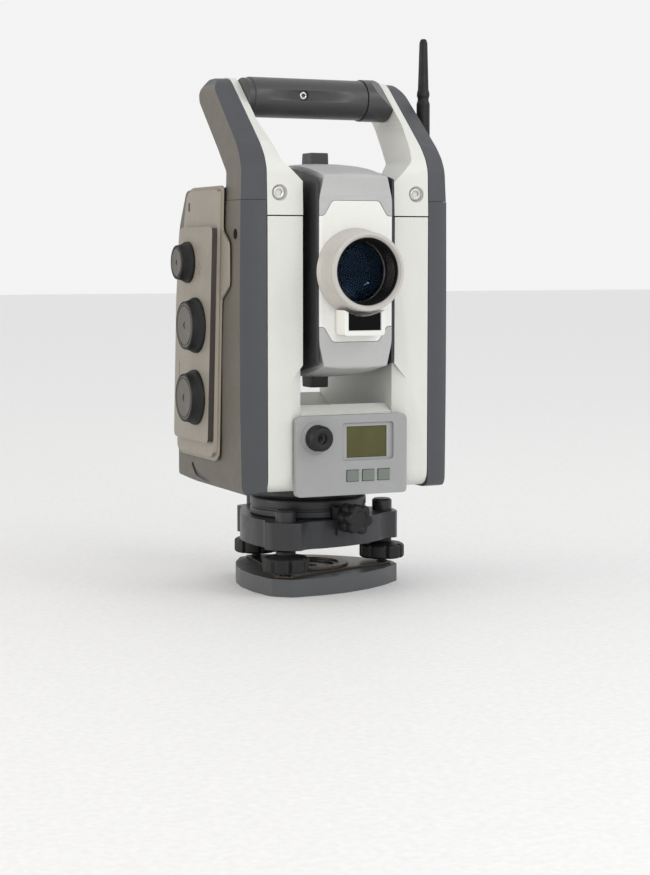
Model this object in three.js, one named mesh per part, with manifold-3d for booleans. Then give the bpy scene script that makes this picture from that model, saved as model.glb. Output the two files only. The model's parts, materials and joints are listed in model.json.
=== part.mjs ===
// Surveying total station on its levelling base.
//
// Frame: millimetres, +Z up. The vertical axis of the instrument is the Z axis and the
// underside of the base plate lies at z = 0. The objective looks along -Y at rest and the
// trunnion (tilting) axis runs along X at z = TRUNNION_Z.
import * as THREE from "three";
import { mergeVertices } from "three/addons/utils/BufferGeometryUtils.js";
import Module from "manifold-3d";

const wasm = await Module();
wasm.setup();

// ---- Driving dimensions -------------------------------------------------------------
const GAP = 0.3; // clearance between pieces that touch
const ROUND = 28; // sides of a large round
const FINE = 16; // sides of a small round

// Levelling base
const SCREW_ANGLES = [350, 230, 110].map(THREE.MathUtils.degToRad);
const SCREW_RADIUS = 65; // foot screws from the vertical axis
const PLATE_TOP = 14.5;
const BALL_Z = 13.4; // centre of a foot screw's ball end
const BALL_R = 4.4;
const HEAD_BOTTOM = 38;
const HEAD_TOP = 60.5;
const SEAT_R = 49; // clamped instrument foot
const FOOT_TOP = 76.5;

// Alidade
const TRUNNION_Z = 264;
const INNER_X = 40.2; // column walls that face the telescope
const OUTER_X = 70.5; // column sides under the bumpers
const BUMPER_X = 92;
const FRONT_Y = -82.4;
const BACK_Y = 66.4;
const YOKE_BOTTOM = 88;
const SADDLE_Z = 157; // top of the bridge between the columns
const SPLIT_Z = 307.4; // where the handle meets the columns at the front
const COLUMN_TOP = 331;
const SWING_R = 126; // trough that the telescope turns in
const ARM_BACK_Y = -40.5; // column front part that carries the handle

// Telescope
const SCOPE_X = 33.8; // half width
const SCOPE_FRONT = -95;
const SCOPE_BACK = 74;

// ---- Colours ------------------------------------------------------------------------
const finish = (color, roughness, metalness = 0) =>
  new THREE.MeshStandardMaterial({ color, roughness, metalness });
const LIGHT = finish(0xd6d6d0, 0.5);
const GREY = finish(0x9fa09f, 0.55);
const WARM = finish(0xa9a49b, 0.55);
const SLATE = finish(0x3f424a, 0.6);
const CHARCOAL = finish(0x2b2c2f, 0.5);
const BLACK = finish(0x151517, 0.7);
const GRAPHITE = finish(0x2c2d30, 0.4, 0.6);
const PLATE_GREY = finish(0x5b5e62, 0.45, 0.6);
const BRONZE = finish(0x6f655c, 0.35, 0.9);
const STEEL = finish(0xb4b4b0, 0.25, 1);
const GLASS = finish(0x1b2a3a, 0.05);
const LCD = finish(0x55522f, 0.25);

// ---- Geometry helpers ---------------------------------------------------------------
function toSolid(geometry) {
  const bare = geometry.clone();
  bare.deleteAttribute("normal");
  bare.deleteAttribute("uv");
  const merged = mergeVertices(bare, 1e-4);
  return new wasm.Manifold(
    new wasm.Mesh({
      numProp: 3,
      vertProperties: merged.attributes.position.array,
      triVerts: new Uint32Array(merged.index.array),
    }),
  );
}

function toGeometry(solid) {
  const mesh = solid.getMesh();
  const count = mesh.numProp;
  const points = new Float32Array(mesh.numVert * 3);
  for (let i = 0; i < mesh.numVert; i++) {
    points.set(mesh.vertProperties.subarray(i * count, i * count + 3), i * 3);
  }
  const geometry = new THREE.BufferGeometry();
  geometry.setAttribute("position", new THREE.BufferAttribute(points, 3));
  geometry.setIndex(new THREE.BufferAttribute(mesh.triVerts, 1));
  geometry.computeVertexNormals();
  return geometry;
}

const join = (...solids) => solids.reduce((a, b) => a.add(b));
const cut = (solid, ...tools) => tools.reduce((a, b) => a.subtract(b), solid);
const common = (...solids) => solids.reduce((a, b) => a.intersect(b));

// A closed outline through [x, y, rounding] corners.
function outline(corners) {
  const shape = new THREE.Shape();
  const count = corners.length;
  corners.forEach(([x, y, rounding = 0], i) => {
    const towards = ([tx, ty]) => {
      const share = rounding / Math.hypot(tx - x, ty - y);
      return [x + (tx - x) * share, y + (ty - y) * share];
    };
    const [ax, ay] = towards(corners[(i + count - 1) % count]);
    const [bx, by] = towards(corners[(i + 1) % count]);
    if (i === 0) shape.moveTo(ax, ay);
    else shape.lineTo(ax, ay);
    if (rounding > 0) shape.quadraticCurveTo(x, y, bx, by);
  });
  shape.closePath();
  return shape;
}

const rect = (x0, y0, x1, y1, r = 0) =>
  outline([
    [x0, y0, r],
    [x1, y0, r],
    [x1, y1, r],
    [x0, y1, r],
  ]);

const slab = (shape, depth, curveSegments = 4) =>
  new THREE.ExtrudeGeometry(shape, { depth, bevelEnabled: false, curveSegments });

// Extrusions of an XY, a YZ and an XZ outline, between two heights along the third axis.
function extrudeZ(shape, z0, z1, curve) {
  return toSolid(slab(shape, z1 - z0, curve).translate(0, 0, z0));
}
function extrudeX(shape, x0, x1, curve) {
  const turn = new THREE.Matrix4().set(0, 0, 1, x0, 1, 0, 0, 0, 0, 1, 0, 0, 0, 0, 0, 1);
  return toSolid(slab(shape, x1 - x0, curve).applyMatrix4(turn));
}
function extrudeY(shape, y0, y1, curve) {
  const turn = new THREE.Matrix4().set(1, 0, 0, 0, 0, 0, -1, y1, 0, 1, 0, 0, 0, 0, 0, 1);
  return toSolid(slab(shape, y1 - y0, curve).applyMatrix4(turn));
}
function block(x0, x1, y0, y1, z0, z1) {
  const box = new THREE.BoxGeometry(x1 - x0, y1 - y0, z1 - z0);
  return toSolid(box.translate((x0 + x1) / 2, (y0 + y1) / 2, (z0 + z1) / 2));
}

// A turned piece from [radius, height] points, with its axis along a given direction.
const UP = new THREE.Vector3(0, 0, 1);
const RIGHT = new THREE.Vector3(1, 0, 0);
const LEFT = new THREE.Vector3(-1, 0, 0);
const FORWARD = new THREE.Vector3(0, -1, 0);
const BACKWARD = new THREE.Vector3(0, 1, 0);
function turned(profile, at, axis = UP, sides = FINE) {
  const points = profile.map(([r, h]) => new THREE.Vector2(r, h));
  const geometry = new THREE.LatheGeometry(points, sides);
  const turn = new THREE.Quaternion().setFromUnitVectors(new THREE.Vector3(0, 1, 0), axis);
  geometry.applyQuaternion(turn).translate(...at);
  return toSolid(geometry);
}
const rod = (r, h0, h1, at, axis, sides) =>
  turned([[0, h0], [r, h0], [r, h1], [0, h1]], at, axis, sides);
const ring = (r0, r1, h0, h1, at, axis, sides) =>
  turned([[r0, h0], [r1, h0], [r1, h1], [r0, h1], [r0, h0]], at, axis, sides);

const polar = (radius, angle, z) => [radius * Math.cos(angle), radius * Math.sin(angle), z];

const instrument = new THREE.Group();
const groups = {};
function inGroup(group, name, solid, material) {
  if (!groups[group]) {
    groups[group] = new THREE.Group();
    groups[group].name = group;
    instrument.add(groups[group]);
  }
  const mesh = new THREE.Mesh(toGeometry(solid), material.clone());
  mesh.name = name;
  groups[group].add(mesh);
}

// ---- Levelling base -----------------------------------------------------------------
// A plate with three flat-ended corners joined by bowed sides, its corners rounded by r. Waist
// points, as [across, out], draw the sides in beside the corners.
function threeCorners(cornerDistance, cornerHalf, sideDistance, r, waist = []) {
  const shape = new THREE.Shape();
  const at = (x, y, a) => new THREE.Vector2(x, y).rotateAround(new THREE.Vector2(), a);
  const step = (from, to) => to.clone().sub(from).setLength(r).add(from);
  const order = [...SCREW_ANGLES].sort((a, b) => a - b);
  order.forEach((angle, i) => {
    const start = at(cornerDistance, -cornerHalf, angle);
    const end = at(cornerDistance, cornerHalf, angle);
    const next = at(cornerDistance, -cornerHalf, order[(i + 1) % 3]);
    const nextEnd = at(cornerDistance, cornerHalf, order[(i + 1) % 3]);
    const middle = at(sideDistance, 0, angle + Math.PI / 3);
    const control = middle.clone().multiplyScalar(2).sub(end.clone().add(next).multiplyScalar(0.5));
    const leave = step(end, control);
    const arrive = step(next, control);
    const flat = step(next, nextEnd);
    if (i === 0) shape.moveTo(...step(start, end).toArray());
    shape.lineTo(...step(end, start).toArray());
    shape.quadraticCurveTo(...end.toArray(), ...leave.toArray());
    if (waist.length) {
      const leaving = waist.map(([across, out]) => at(out, -across, angle + Math.PI / 3));
      const arriving = waist.map(([across, out]) => at(out, across, angle + Math.PI / 3));
      shape.splineThru([...leaving, middle, ...arriving.reverse(), arrive]);
    } else {
      shape.quadraticCurveTo(...control.toArray(), ...arrive.toArray());
    }
    shape.quadraticCurveTo(...next.toArray(), ...flat.toArray());
  });
  return shape;
}

const atScrews = (make) => SCREW_ANGLES.map(make);

function basePlate() {
  const plate = extrudeZ(threeCorners(76, 9, 60, 1.5), 0, PLATE_TOP, 5);
  const thread = rod(8, -1, PLATE_TOP + 1, [0, 0, 0]);
  const sockets = atScrews((a) => rod(5.2, 8.5, PLATE_TOP + 1, polar(SCREW_RADIUS, a, 0), UP, 10));
  return cut(plate, thread, ...sockets);
}

function springPlate() {
  const sheet = extrudeZ(threeCorners(71, 7, 38, 1.5), PLATE_TOP + GAP, PLATE_TOP + 1.7, 4);
  const rib = ring(26, 34, PLATE_TOP + GAP, PLATE_TOP + 3.4, [0, 0, 0], UP, ROUND);
  const opening = rod(22, 0, 30, [0, 0, 0]);
  const stems = atScrews((a) => rod(5.2, 0, 30, polar(SCREW_RADIUS, a, 0), UP, 8));
  return cut(join(sheet, rib), opening, ...stems);
}

const KNOB_BOTTOM = 19.5;
const KNOB_TOP = 32;
const KNOB_R = 19.5;
const COLLAR_R = 8.2;
const SHAFT_R = 4.5;
const SHAFT_TOP = 56;
function footScrew(angle) {
  const at = polar(SCREW_RADIUS, angle, 0);
  const lobes = 8;
  const rim = [];
  for (let i = 0; i < lobes; i++) {
    for (const [share, depth] of [[0, 0.5], [0.25, 0], [0.5, 0.5], [0.65, 2], [0.85, 2]]) {
      const a = (2 * Math.PI * (i + share)) / lobes;
      const r = KNOB_R - depth;
      rim.push(new THREE.Vector2(at[0] + r * Math.cos(a), at[1] + r * Math.sin(a)));
    }
  }
  const knob = extrudeZ(new THREE.Shape(rim), KNOB_BOTTOM, KNOB_TOP);
  const spindle = turned(
    [
      [0, BALL_Z - BALL_R],
      [BALL_R * 0.7, BALL_Z - BALL_R * 0.7],
      [BALL_R, BALL_Z],
      [BALL_R * 0.85, BALL_Z + BALL_R * 0.6],
      [BALL_R * 0.85, KNOB_BOTTOM + 1],
      [COLLAR_R, KNOB_BOTTOM + 1],
      [COLLAR_R, HEAD_BOTTOM - 1.5],
      [SHAFT_R, HEAD_BOTTOM - 1.5],
      [SHAFT_R, SHAFT_TOP],
      [0, SHAFT_TOP],
    ],
    at,
    UP,
    10,
  );
  return join(knob, spindle);
}

// The dome on the head that closes a foot screw's threaded hole.
function screwDome(angle) {
  const h = HEAD_TOP - 1;
  const profile = [[0, h], [8.6, h], [8.6, h + 9.2], [6.8, h + 10.8], [0, h + 10.8]];
  return turned(profile, polar(SCREW_RADIUS, angle, 0), UP, 14);
}

const LOCK_DEG = 278.5;
const LOCK_Z = 62.5;
const LOCK_IN = 60;
const LEVEL_ANGLE = THREE.MathUtils.degToRad(50);
const LEVEL_RADIUS = 64;
const LEVEL_EAR_TOP = 56;
function tribrachHead() {
  const waist = [[45, 47.6], [29, 52.8]];
  const body = extrudeZ(threeCorners(76, 12, 57, 5, waist), HEAD_BOTTOM, HEAD_TOP, 5);
  const bore = rod(31, 0, 100, [0, 0, 0], UP, ROUND);
  const relief = atScrews((a) => rod(9.5, 0, HEAD_BOTTOM + 7, polar(SCREW_RADIUS, a, 0), UP, 12));
  const holes = atScrews((a) => rod(7.2, 0, HEAD_TOP, polar(SCREW_RADIUS, a, 0), UP, 12));
  const lug = block(51.6, LOCK_IN - GAP, -9, 9, HEAD_BOTTOM + 10, LOCK_Z + 8);
  const lockLug = lug.rotate([0, 0, LOCK_DEG]);
  const ear = rod(11.5, HEAD_BOTTOM + 4, LEVEL_EAR_TOP, polar(LEVEL_RADIUS, LEVEL_ANGLE, 0));
  const earSeat = rod(11.6, LEVEL_EAR_TOP, 100, polar(LEVEL_RADIUS, LEVEL_ANGLE, 0));
  const solid = join(body, lockLug, ear, ...atScrews(screwDome));
  return cut(solid, earSeat, bore, ...relief, ...holes);
}

function lockKnob() {
  const lobes = 6;
  const rim = [];
  for (let i = 0; i < lobes; i++) {
    for (const [share, r] of [[0, 13], [0.3, 13], [0.5, 9.8], [0.8, 9.8]]) {
      const a = (2 * Math.PI * (i + share)) / lobes;
      rim.push(new THREE.Vector2(r * Math.cos(a), LOCK_Z + r * Math.sin(a)));
    }
  }
  const grip = extrudeX(new THREE.Shape(rim), LOCK_IN + 2, LOCK_IN + 21);
  const boss = rod(9, LOCK_IN, LOCK_IN + 3, [0, 0, LOCK_Z], RIGHT);
  return join(grip, boss).rotate([0, 0, LOCK_DEG]);
}

function levelHousing() {
  const at = polar(LEVEL_RADIUS, LEVEL_ANGLE, LEVEL_EAR_TOP + GAP);
  return turned([[0, 0], [10, 0], [10, 8], [7.2, 8], [7.2, 3], [0, 3]], at);
}
function levelVial() {
  const at = polar(LEVEL_RADIUS, LEVEL_ANGLE, LEVEL_EAR_TOP + GAP);
  return turned([[0, 3.3], [6.9, 3.3], [6.9, 7.2], [4, 8], [0, 8.3]], at);
}

function instrumentFoot() {
  const h = HEAD_TOP + GAP;
  const profile = [[14, 52], [30.5, 52], [30.5, h], [SEAT_R, h], [SEAT_R, FOOT_TOP - 2]];
  profile.push([SEAT_R - 2, FOOT_TOP], [14, FOOT_TOP], [14, 52]);
  return turned(profile, [0, 0, 0], UP, ROUND);
}

const SPINDLE_R = 13;
const CIRCLE_Z = 96;
function verticalSpindle() {
  const low = FOOT_TOP + GAP;
  const profile = [[7, low], [20, low], [20, low + 3], [SPINDLE_R, low + 3], [SPINDLE_R, 121]];
  profile.push([7, 121], [7, low]);
  return turned(profile, [0, 0, 0], UP, FINE);
}
const horizontalCircle = () => ring(SPINDLE_R + GAP, 38, CIRCLE_Z, CIRCLE_Z + 3, [0, 0, 0], UP, ROUND);

inGroup("levelling_base", "tribrach_base_plate", basePlate(), PLATE_GREY);
inGroup("levelling_base", "foot_spring_plate", springPlate(), BRONZE);
["right", "front", "rear"].forEach((place, i) => {
  inGroup("levelling_base", `foot_screw_${place}`, footScrew(SCREW_ANGLES[i]), BLACK);
});
inGroup("tribrach", "tribrach_head", tribrachHead(), GRAPHITE);
inGroup("tribrach", "lock_knob", lockKnob(), BLACK);
inGroup("tribrach", "circular_level_housing", levelHousing(), STEEL);
inGroup("tribrach", "circular_level_vial", levelVial(), GLASS);
inGroup("tribrach", "instrument_foot", instrumentFoot(), CHARCOAL);
inGroup("tribrach", "vertical_spindle", verticalSpindle(), STEEL);
inGroup("tribrach", "horizontal_circle", horizontalCircle(), GLASS);

// ---- Alidade frame ------------------------------------------------------------------
const TRUNNION = [0, 0, TRUNNION_Z];
const POCKET_X = 46.5;
const POCKET = [-76, 60, 94, 300]; // y and z limits of the side pockets
const BEVEL_X = 51; // the lower front of the columns opens out to this
const BEVEL_Y = -77;
const BEARING_R = 16;
const PANEL_X = 49;
const PANEL_FRONT = -88.4;
const PANEL_BOTTOM = 84.7;
const PANEL_TOP = 149.4;

const BRIDGE_ROOF = 8; // under the lowest point of the trough
const BEARING_Z = 112.5;
const CIRCLE_ROOM_R = 42;

// Everything that the outside of the frame is trimmed to, front, back and sides.
function frameEnvelope() {
  const front = extrudeY(rect(-OUTER_X, YOKE_BOTTOM, OUTER_X, COLUMN_TOP, 3), FRONT_Y, BACK_Y, 3);
  const side = extrudeX(
    outline([
      [FRONT_Y, YOKE_BOTTOM, 14],
      [BACK_Y, YOKE_BOTTOM, 12],
      [BACK_Y, COLUMN_TOP, 8],
      [ARM_BACK_Y, COLUMN_TOP, 2],
      [ARM_BACK_Y, SPLIT_Z],
      [FRONT_Y, SPLIT_Z],
    ]),
    -OUTER_X,
    OUTER_X,
    6,
  );
  return common(front, side);
}

// The funnel-shaped face that opens out towards the front, below the telescope.
function frontSplay() {
  const plan = outline([
    [-INNER_X, BEVEL_Y],
    [-BEVEL_X, FRONT_Y],
    [-BEVEL_X, FRONT_Y - 28],
    [BEVEL_X, FRONT_Y - 28],
    [BEVEL_X, FRONT_Y],
    [INNER_X, BEVEL_Y],
  ]);
  const face = outline([
    [-BEVEL_X, 0],
    [BEVEL_X, 0],
    [BEVEL_X, SADDLE_Z + 20],
    [INNER_X, SADDLE_Z + 33],
    [-INNER_X, SADDLE_Z + 33],
    [-BEVEL_X, SADDLE_Z + 20],
  ]);
  return common(extrudeZ(plan, 0, 2 * BEARING_Z), extrudeY(face, FRONT_Y - 30, 0));
}

function yokeBridge() {
  const middle = block(-INNER_X, INNER_X, FRONT_Y, BACK_Y, YOKE_BOTTOM, SADDLE_Z);
  const trough = rod(SWING_R, -INNER_X - 1, INNER_X + 1, TRUNNION, RIGHT, 64);
  const lip = extrudeX(
    outline([
      [-64, SADDLE_Z + 0.1],
      [-100, PANEL_TOP - 11],
      [-100, SADDLE_Z + 9],
      [-64, SADDLE_Z + 9],
    ]),
    -INNER_X - 1,
    INNER_X + 1,
  );
  const roof = TRUNNION_Z - SWING_R - BRIDGE_ROOF;
  const cavity = block(-34, 34, BEVEL_Y + 8, BACK_Y - 8, YOKE_BOTTOM + 5, roof);
  const boss = rod(28, BEARING_Z - 6, roof + 1, [0, 0, 0], UP, ROUND);
  const circleRoom = rod(CIRCLE_ROOM_R, 0, BEARING_Z, [0, 0, 0], UP, ROUND);
  const spindleRoom = rod(22, 0, BEARING_Z + 11, [0, 0, 0], UP, 24);
  const rooms = [cut(cavity, boss), circleRoom, spindleRoom];
  return cut(common(middle, frameEnvelope()), trough, frontSplay(), lip, ...rooms);
}

function yokeColumn(sign) {
  const span = (a, b) => [sign * a, sign * b].sort((p, q) => p - q);
  const inner = INNER_X + GAP;
  const post = block(...span(inner, OUTER_X), FRONT_Y, BACK_Y, YOKE_BOTTOM, COLUMN_TOP);
  const [y0, y1, z0, z1] = POCKET;
  const pocket = extrudeX(rect(y0, z0, y1, z1, 6), ...span(POCKET_X, OUTER_X + 5), 2);
  const bearing = rod(BEARING_R + GAP, -OUTER_X, OUTER_X, TRUNNION, RIGHT, 24);
  const circleRoom = rod(CIRCLE_ROOM_R + 0.6, 0, BEARING_Z, [0, 0, 0], UP, ROUND);
  return cut(common(post, frameEnvelope()), frontSplay(), pocket, bearing, circleRoom);
}

function azimuthBearing() {
  return ring(SPINDLE_R + GAP, 21.7, BEARING_Z + GAP, BEARING_Z + 7.5, [0, 0, 0], UP, 20);
}
function alidadeRing() {
  const profile = [[21.5, 77], [50, 77], [51.5, 79], [51.5, 85], [48, 87.6], [21.5, 87.6], [21.5, 77]];
  return turned(profile, [0, 0, 0], UP, ROUND);
}

const SHADOW_GAP = 0.7; // the dark line between the light castings and the bumpers
// The dark shell that wraps the front edge, side and back of a column. sign: -1 left, 1 right.
function bumper(sign, shaftHoles = []) {
  const low = 86.3;
  const bandTop = 320;
  const inner = OUTER_X + SHADOW_GAP;
  const span = (a, b) => [sign * a, sign * b].sort((p, q) => p - q);
  const plan = extrudeZ(
    outline([
      [sign * inner, FRONT_Y, 0.5],
      [sign * 83, FRONT_Y + 2.6, 8],
      [sign * BUMPER_X, -75, 1.5],
      [sign * BUMPER_X, 72, 9],
      [sign * inner, 76, 2],
    ]),
    low,
    COLUMN_TOP,
    5,
  );
  const side = extrudeX(
    outline([
      [-90, low, 22],
      [20, low],
      [76, 90.5, 10],
      [71, 226],
      [64, 298, 12],
      [46, COLUMN_TOP, 6],
      [ARM_BACK_Y, COLUMN_TOP],
      [ARM_BACK_Y, bandTop],
      [-90, bandTop],
    ]),
    ...span(60, 110),
    6,
  );
  const front = extrudeY(
    outline([
      [sign * inner, low, 1],
      [sign * (BUMPER_X - 1.5), low, 8],
      [sign * BUMPER_X, 200],
      [sign * (BUMPER_X - 1.5), COLUMN_TOP, 3],
      [sign * inner, COLUMN_TOP, 1],
    ]),
    -90,
    90,
    6,
  );
  const hollow = extrudeX(rect(-75, 96, 58, 294, 8), ...span(60, BUMPER_X - 4), 3);
  return cut(common(plan, side, front), hollow, ...shaftHoles);
}

inGroup("alidade", "yoke_bridge", yokeBridge(), LIGHT);
const SIDES = [["left", -1], ["right", 1]];
for (const [side, sign] of SIDES) {
  inGroup("alidade", `yoke_column_${side}`, yokeColumn(sign), LIGHT);
}
inGroup("alidade", "azimuth_bearing", azimuthBearing(), STEEL);
inGroup("alidade", "alidade_base_ring", alidadeRing(), CHARCOAL);

// ---- Left side: knob unit -----------------------------------------------------------
const UNIT_IN = BUMPER_X + 0.6;
const UNIT_TRIM = 94;
const UNIT_OUT = 97;
const PANEL_OUT = 101.8;
const UNIT_TOP = 332;
const KNOB_FACE = 112.4;
const SIDE_KNOBS = {
  focus_knob: { y: 12.7, z: 271, face: 14.1, flange: 17 },
  vertical_knob: { y: -5.1, z: 219.9, face: 19.8, flange: 22.7 },
  horizontal_knob: { y: -2.3, z: 160.8, face: 19.8, flange: 22.7 },
};
const knobShaft = (knob, r, from, to) => rod(r, from, to, [0, knob.y, knob.z], LEFT, 10);

// The side unit's outline, drawn in from the trim by inset; bulge widens it for a label plate.
function unitOutline(inset, bulge) {
  return outline([
    [-46 + inset, UNIT_TOP - inset, 4],
    [30 - inset, UNIT_TOP - inset, 10],
    [39 - inset, 302, 10],
    [59 - inset, 110 + inset, 8],
    [-33 + inset, 110 + inset, 10],
    [-40.7 + inset, 241, 3],
    ...(bulge ? [[-58, 252, 5], [-58, 287, 5]] : []),
    [-44 + inset, 297, 3],
  ]);
}

function knobUnitCover() {
  const trim = extrudeX(unitOutline(0, true), -UNIT_TRIM, -UNIT_IN, 3);
  const cover = extrudeX(unitOutline(3, false), -UNIT_OUT, -UNIT_TRIM + 1, 3);
  const holes = Object.values(SIDE_KNOBS).map((k) => knobShaft(k, 5, 80, 130));
  return cut(join(trim, cover), ...holes);
}

function knobPanel() {
  const plate = extrudeX(
    outline([
      [-43, 299.5, 5],
      [33, 299.5, 8],
      [42, 242, 10],
      [50, 125, 6],
      [-30, 125, 5],
    ]),
    -PANEL_OUT,
    -UNIT_OUT - GAP,
    4,
  );
  return cut(plate, ...Object.values(SIDE_KNOBS).map((k) => knobShaft(k, 5, 80, 130)));
}

function sideKnob({ y, z, face, flange }) {
  const base = PANEL_OUT + 0.5;
  return turned(
    [
      [0, BUMPER_X - 6],
      [4, BUMPER_X - 6],
      [4, base],
      [flange, base],
      [flange, base + 3],
      [face + 1.4, base + 5.6],
      [face, KNOB_FACE - 1.5],
      [face - 1.5, KNOB_FACE],
      [0, KNOB_FACE],
    ],
    [0, y, z],
    LEFT,
    20,
  );
}

const encoderBoard = () => block(-56, -54, -45, 25, 140, 290);

const leftHoles = Object.values(SIDE_KNOBS).map((k) => knobShaft(k, 5, 80, 130));
inGroup("alidade", "left_bumper", bumper(-1, leftHoles), SLATE);
inGroup("alidade", "knob_unit_cover", knobUnitCover(), WARM);
inGroup("alidade", "knob_panel", knobPanel(), WARM);
inGroup("alidade", "knob_encoder_board", encoderBoard(), finish(0x1f5a38, 0.5));
for (const [name, knob] of Object.entries(SIDE_KNOBS)) {
  inGroup("alidade", name, sideKnob(knob), BLACK);
}

// ---- Right side: battery unit and antenna -------------------------------------------
const RIGHT_OUT = 106;
const DOOR = { y0: -34, y1: 44, z0: 128, z1: 232 }; // battery door opening
const DOOR_THICK = 2.4;
const HINGE = [RIGHT_OUT - 1.6, 0, DOOR.z0 + 2.8];
const LATCH = { y0: -9, y1: 19, z0: 208, z1: 222, travel: 3 };
const PACK_X = [74, 96];
const PACK = [DOOR.y0 + 3, DOOR.z0 + 4, DOOR.y1 - 3, DOOR.z1 - 4]; // y and z limits
const ANTENNA = [99.5, -16, 0];
const BATTERY_TOP = 333;

const BATTERY_UNIT = [
  [-53, BATTERY_TOP, 4],
  [30, BATTERY_TOP, 14],
  [50, 240, 8],
  [53, 109, 8],
  [-34, 109, 8],
  [-44, 130, 8],
  [-52.5, 236],
];

function batteryUnitCover() {
  const plan = extrudeZ(
    outline([
      [UNIT_IN, -56],
      [UNIT_IN + 3.4, -55],
      [RIGHT_OUT, -38, 2],
      [RIGHT_OUT, 58, 3],
      [UNIT_IN, 62],
    ]),
    0,
    BATTERY_TOP + 1,
    2,
  );
  const shell = common(extrudeX(outline(BATTERY_UNIT), UNIT_IN, RIGHT_OUT, 3), plan);
  const { y0, y1, z0, z1 } = DOOR;
  const opening = extrudeX(rect(y0, z0, y1, z1, 1), UNIT_IN - 1, RIGHT_OUT + 5, 2);
  const socket = rod(4.2, BATTERY_TOP - 14, BATTERY_TOP + 5, ANTENNA);
  const pins = rod(1.3, y0 - 3, y1 + 3, HINGE, BACKWARD, 10);
  return cut(shell, opening, socket, pins);
}

const batteryPack = () => extrudeX(rect(...PACK, 4), ...PACK_X, 2);
function batteryBay() {
  const low = PACK[1] - GAP;
  return extrudeX(rect(DOOR.y0 + 1, low, DOOR.y1 - 1, DOOR.z1 - 2, 1), 60, 110, 2);
}

function batteryDoor() {
  const { y0, y1, z0, z1 } = DOOR;
  const leafShape = outline([
    [y0 + 0.8, z0 + 1],
    [y1 - 0.8, z0 + 1],
    [y1 - 0.8, z1 - 0.8, 3],
    [y0 + 0.8, z1 - 0.8, 3],
  ]);
  const leaf = extrudeX(leafShape, RIGHT_OUT - DOOR_THICK, RIGHT_OUT, 3);
  const knuckle = rod(1.6, y0 + 0.8, y1 - 0.8, HINGE, BACKWARD, 12);
  const pin = rod(0.9, y0 - 2.6, y1 + 2.6, HINGE, BACKWARD, 10);
  const latchHole = block(80, 120, LATCH.y0, LATCH.y1, LATCH.z0, LATCH.z1);
  return cut(join(leaf, knuckle, pin), latchHole);
}

function batteryLatch() {
  const { y0, y1, z0, z1, travel } = LATCH;
  const inside = RIGHT_OUT - DOOR_THICK - GAP;
  const outlineShape = rect(y0 + 0.5, z0 + travel + 0.5, y1 - 0.5, z1 - 0.4, 2);
  const thumb = extrudeX(outlineShape, inside, RIGHT_OUT + 1.4, 2);
  const bolt = block(inside - 2, inside, y0 + 9, y1 - 9, z0 + travel + 0.5, DOOR.z1 - 0.8);
  return join(thumb, bolt.translate([0.02, 0, 0]));
}

function antenna() {
  const top = BATTERY_TOP + GAP;
  return turned(
    [
      [0, BATTERY_TOP - 12],
      [3.8, BATTERY_TOP - 12],
      [3.8, top],
      [6.4, top],
      [6.4, top + 12],
      [5.8, top + 14],
      [5.6, 405],
      [4.6, 408],
      [5.4, 411],
      [4.4, 416],
      [3.4, 455],
      [2, 458],
      [0, 458],
    ],
    ANTENNA,
    UP,
    12,
  );
}

inGroup("alidade", "right_bumper", bumper(1, [batteryBay()]), SLATE);
inGroup("alidade", "battery_unit_cover", batteryUnitCover(), WARM);
inGroup("alidade", "battery_pack", batteryPack(), CHARCOAL);
inGroup("alidade", "battery_door", batteryDoor(), WARM);
inGroup("alidade", "battery_latch", batteryLatch(), CHARCOAL);
inGroup("alidade", "antenna", antenna(), BLACK);

// ---- Carrying handle ----------------------------------------------------------------
const SPLIT_GAP = 1;
const ARM_OUTLINE = [
  [FRONT_Y, SPLIT_Z + SPLIT_GAP],
  [-81.2, 345, 4],
  [-76.5, 355, 3],
  [-67.9, 365, 4],
  [-3, 421.3, 8],
  [24, 421.3, 3],
  [29, 409, 4],
  [26.5, 402, 2],
  [-20, 362, 3],
  [-32, 351, 3],
  [ARM_BACK_Y - GAP, 343, 3],
  [ARM_BACK_Y - GAP, SPLIT_Z + SPLIT_GAP],
];

function handleArm(sign) {
  const inner = INNER_X;
  const xs = [sign * inner, sign * (OUTER_X + 0.1)].sort((a, b) => a - b);
  const arm = extrudeX(outline(ARM_OUTLINE), ...xs, 3);
  const front = extrudeY(
    outline([
      [sign * inner, 300],
      [sign * inner, 335],
      [sign * 57.5, 352, 1.5],
      [sign * 64.4, 384, 3],
      [sign * 64.4, 430],
      [sign * 80, 430],
      [sign * 80, 300],
    ]),
    -120,
    60,
    4,
  );
  const screwSeat = rod(6.6, 79.4, 100, [sign * 60, 0, 325.8], FORWARD, 24);
  return cut(common(arm, front), screwSeat);
}

const COVER_X = 91;
const COVER_LEAN = 0.36; // how far the cover's front falls back, per mm outwards
const COVER_SET = 2.5; // the cover's back edge stands this far before the arm's
function handleCover(sign) {
  const low = 320.3;
  const inner = OUTER_X + SHADOW_GAP;
  const corners = ARM_OUTLINE.map(([y, z, r = 0], i) => {
    const back = i > 4 ? COVER_SET : 0;
    if (z < SPLIT_Z + 2) return [y - back, low, r];
    return [y - back, z - (z > 415 ? 0.6 : 0), r];
  });
  const xs = [sign * inner, sign * COVER_X].sort((a, b) => a - b);
  const body = extrudeX(outline(corners), ...xs, 3).warp((point) => {
    const middle = -60 + 0.98 * Math.max(0, point[2] - 350);
    if (point[1] < middle) point[1] += COVER_LEAN * (Math.abs(point[0]) - inner);
  });
  const face = extrudeY(
    outline([
      [sign * inner, low - 1],
      [sign * (COVER_X - 0.6), low - 1],
      [sign * (COVER_X - 1.6), 350],
      [sign * (COVER_X - 4.8), 412, 4],
      [sign * 78, 422, 2],
      [sign * inner, 422],
    ]),
    -120,
    60,
    3,
  );
  return common(body, face);
}

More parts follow.
